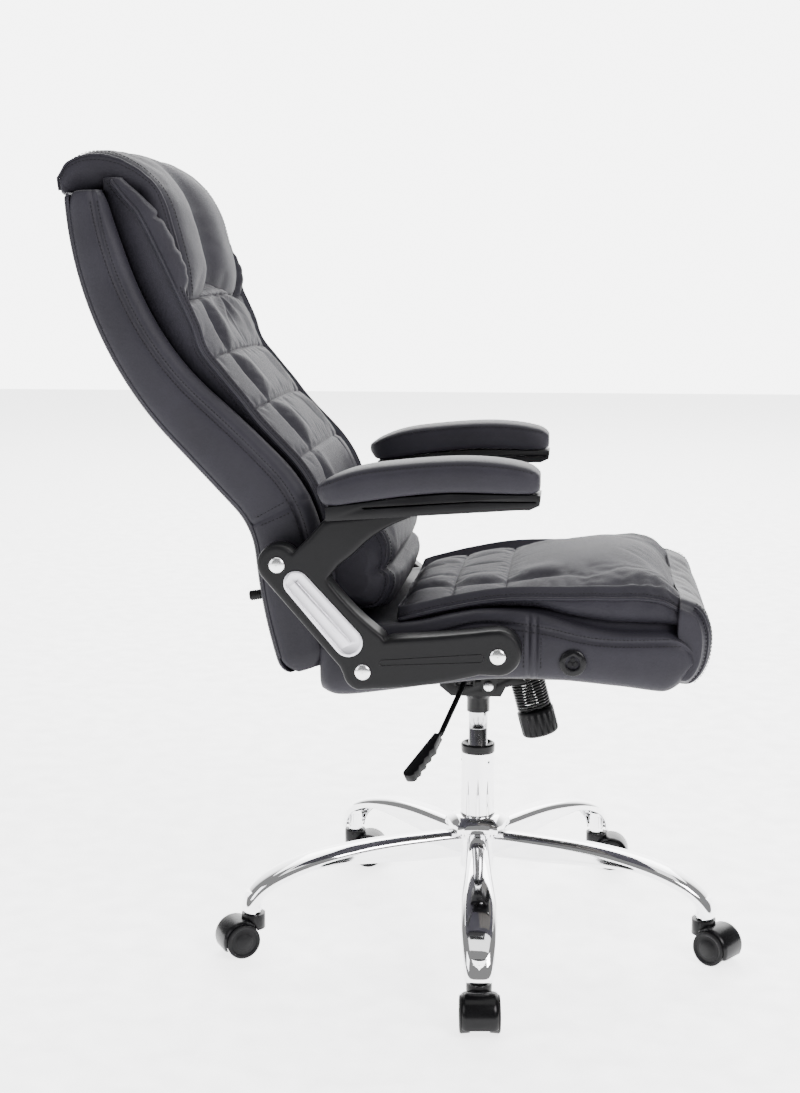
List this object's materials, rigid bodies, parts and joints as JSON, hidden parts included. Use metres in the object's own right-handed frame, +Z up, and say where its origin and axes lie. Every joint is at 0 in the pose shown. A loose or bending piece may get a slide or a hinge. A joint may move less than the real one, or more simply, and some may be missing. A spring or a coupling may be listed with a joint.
{
  "type": "office chair",
  "caption": "High-backed executive office chair: quilted black leather seat and back, head pillow, padded arms, gas lift, tilt mechanism and five-legged chrome base on casters.",
  "frame": {"origin": "on the floor, on the axis of the column, at the centre of the base", "axes": "+X the way the chair faces, +Y to the sitter's left, +Z up"},
  "size_m": [0.9494, 0.7188, 1.15],
  "materials": {
    "chrome": "polished",
    "ground_steel": "satin",
    "bolt_steel": "satin",
    "caster_plastic": "gloss",
    "tread": "satin",
    "black_plastic": "satin",
    "black_steel": "satin",
    "spring_steel": "satin",
    "insert_silver": "satin",
    "plywood": "matte",
    "rear_vinyl": "satin",
    "side_leather": "satin",
    "quilted_leather": "satin",
    "roll_leather": "satin",
    "arm_leather": "satin"
  },
  "bodies": {
    "base": {"base_star": "chrome", "caster_stems": "ground_steel", "gas_column": "chrome", "column_bush": "black_plastic", "thrust_bearing": "ground_steel"},
    "rod": {"piston_rod": "ground_steel"},
    "lift": {"gas_cylinder": "ground_steel", "mechanism_housing": "black_steel", "tilt_pivot_bolt": "bolt_steel", "tension_spring": "spring_steel"},
    "seat": {"seat_plate": "black_steel", "tension_bolt": "bolt_steel", "seat_frame": "plywood", "seat_bolts": "bolt_steel", "seat_cushion": "side_leather", "seat_pad": "quilted_leather", "seat_front_roll": "side_leather", "side_inlet": "black_plastic", "back_frame": "plywood", "back_cover": "rear_vinyl", "back_cushion": "side_leather", "back_pad": "quilted_leather", "head_pillow": "roll_leather", "lumbar_roll": "roll_leather", "rear_gland": "black_plastic", "arm_bolts": "bolt_steel", "bolt_caps": "chrome", "arm_frame_r": "black_plastic", "arm_frame_l": "black_plastic", "arm_insert_r": "insert_silver", "arm_insert_l": "insert_silver", "arm_plate_r": "black_plastic", "arm_plate_l": "black_plastic", "arm_pad_r": "arm_leather", "arm_pad_l": "arm_leather"},
    "knob": {"tension_knob": "black_plastic"},
    "rocker": {"lever_barrel": "black_steel"},
    "lever": {"lever_rod": "black_steel", "lever_grip": "black_plastic"},
    "pin": {"release_pin": "ground_steel"},
    "caster1": {"caster1_hood": "caster_plastic", "caster1_axle": "ground_steel"},
    "caster1_l": {"caster1_wheel_l": "tread"},
    "caster1_r": {"caster1_wheel_r": "tread"},
    "caster2": {"caster2_hood": "caster_plastic", "caster2_axle": "ground_steel"},
    "caster2_l": {"caster2_wheel_l": "tread"},
    "caster2_r": {"caster2_wheel_r": "tread"},
    "caster3": {"caster3_hood": "caster_plastic", "caster3_axle": "ground_steel"},
    "caster3_l": {"caster3_wheel_l": "tread"},
    "caster3_r": {"caster3_wheel_r": "tread"},
    "caster4": {"caster4_hood": "caster_plastic", "caster4_axle": "ground_steel"},
    "caster4_l": {"caster4_wheel_l": "tread"},
    "caster4_r": {"caster4_wheel_r": "tread"},
    "caster5": {"caster5_hood": "caster_plastic", "caster5_axle": "ground_steel"},
    "caster5_l": {"caster5_wheel_l": "tread"},
    "caster5_r": {"caster5_wheel_r": "tread"}
  },
  "joints": [
    {"name": "seat_swivel", "type": "hinge", "parent": "base", "child": "rod", "pos_m": [0, 0, 0.1], "axis": [0, 0, 1], "continuous": true},
    {"name": "height", "type": "slide", "parent": "rod", "child": "lift", "axis": [0, 0, 1], "range_m": [-0.04, 0.06]},
    {"name": "tilt", "type": "hinge", "parent": "lift", "child": "seat", "pos_m": [0.018, 0, 0.388], "axis": [0, -1, 0], "range_deg": [0, 12], "stiffness_Nm_per_rad": 120, "springref_deg": -45, "deforming": ["tension_spring"]},
    {"name": "tension_knob_turn", "type": "hinge", "parent": "seat", "child": "knob", "pos_m": [0.084, 0, 0.344], "axis": [-0.2588, 0, 0.9659], "range_deg": [-360, 360]},
    {"name": "lever_lift", "type": "hinge", "parent": "lift", "child": "rocker", "pos_m": [-0.017, -0.05, 0.397], "axis": [-1, 0, 0], "range_deg": [0, 6], "stiffness_Nm_per_rad": 3, "springref_deg": -15},
    {"name": "lever_pull", "type": "slide", "parent": "rocker", "child": "lever", "axis": [0, -1, 0], "range_m": [0, 0.012]},
    {"name": "pin_press", "type": "slide", "parent": "lift", "child": "pin", "axis": [0, 0, 1], "range_m": [-0.0055, 0]},
    {"name": "caster1_swivel", "type": "hinge", "parent": "base", "child": "caster1", "pos_m": [0.02407, -0.34416, 0.05], "axis": [0, 0, 1], "continuous": true},
    {"name": "caster1_roll_l", "type": "hinge", "parent": "caster1", "child": "caster1_l", "pos_m": [0.02657, -0.36803, 0.025], "axis": [0.9945, 0.1045, 0], "continuous": true},
    {"name": "caster1_roll_r", "type": "hinge", "parent": "caster1", "child": "caster1_r", "pos_m": [0.02657, -0.36803, 0.025], "axis": [0.9945, 0.1045, 0], "continuous": true},
    {"name": "caster2_swivel", "type": "hinge", "parent": "base", "child": "caster2", "pos_m": [0.33475, -0.08346, 0.05], "axis": [0, 0, 1], "continuous": true},
    {"name": "caster2_roll_l", "type": "hinge", "parent": "caster2", "child": "caster2_l", "pos_m": [0.35392, -0.09791, 0.025], "axis": [0.6018, 0.7986, 0], "continuous": true},
    {"name": "caster2_roll_r", "type": "hinge", "parent": "caster2", "child": "caster2_r", "pos_m": [0.35392, -0.09791, 0.025], "axis": [0.6018, 0.7986, 0], "continuous": true},
    {"name": "caster3_swivel", "type": "hinge", "parent": "base", "child": "caster3", "pos_m": [0.18282, 0.29258, 0.05], "axis": [0, 0, 1], "continuous": true},
    {"name": "caster3_roll_l", "type": "hinge", "parent": "caster3", "child": "caster3_l", "pos_m": [0.20681, 0.29174, 0.025], "axis": [0.0349, 0.9994, 0], "continuous": true},
    {"name": "caster3_roll_r", "type": "hinge", "parent": "caster3", "child": "caster3_r", "pos_m": [0.20681, 0.29174, 0.025], "axis": [0.0349, 0.9994, 0], "continuous": true},
    {"name": "caster4_swivel", "type": "hinge", "parent": "base", "child": "caster4", "pos_m": [-0.22176, 0.26429, 0.05], "axis": [0, 0, 1], "continuous": true},
    {"name": "caster4_roll_l", "type": "hinge", "parent": "caster4", "child": "caster4_l", "pos_m": [-0.19776, 0.26429, 0.025], "axis": [0, 1, 0], "continuous": true},
    {"name": "caster4_roll_r", "type": "hinge", "parent": "caster4", "child": "caster4_r", "pos_m": [-0.19776, 0.26429, 0.025], "axis": [0, 1, 0], "continuous": true},
    {"name": "caster5_swivel", "type": "hinge", "parent": "base", "child": "caster5", "pos_m": [-0.31988, -0.12924, 0.05], "axis": [0, 0, 1], "continuous": true},
    {"name": "caster5_roll_l", "type": "hinge", "parent": "caster5", "child": "caster5_l", "pos_m": [-0.34045, -0.1416, 0.025], "axis": [0.515, -0.8572, 0], "continuous": true},
    {"name": "caster5_roll_r", "type": "hinge", "parent": "caster5", "child": "caster5_r", "pos_m": [-0.34045, -0.1416, 0.025], "axis": [0.515, -0.8572, 0], "continuous": true}
  ],
  "couplings": [
    {"joint": "pin_press", "follows": "lever_lift", "m_per_rad": -0.05}
  ]
}
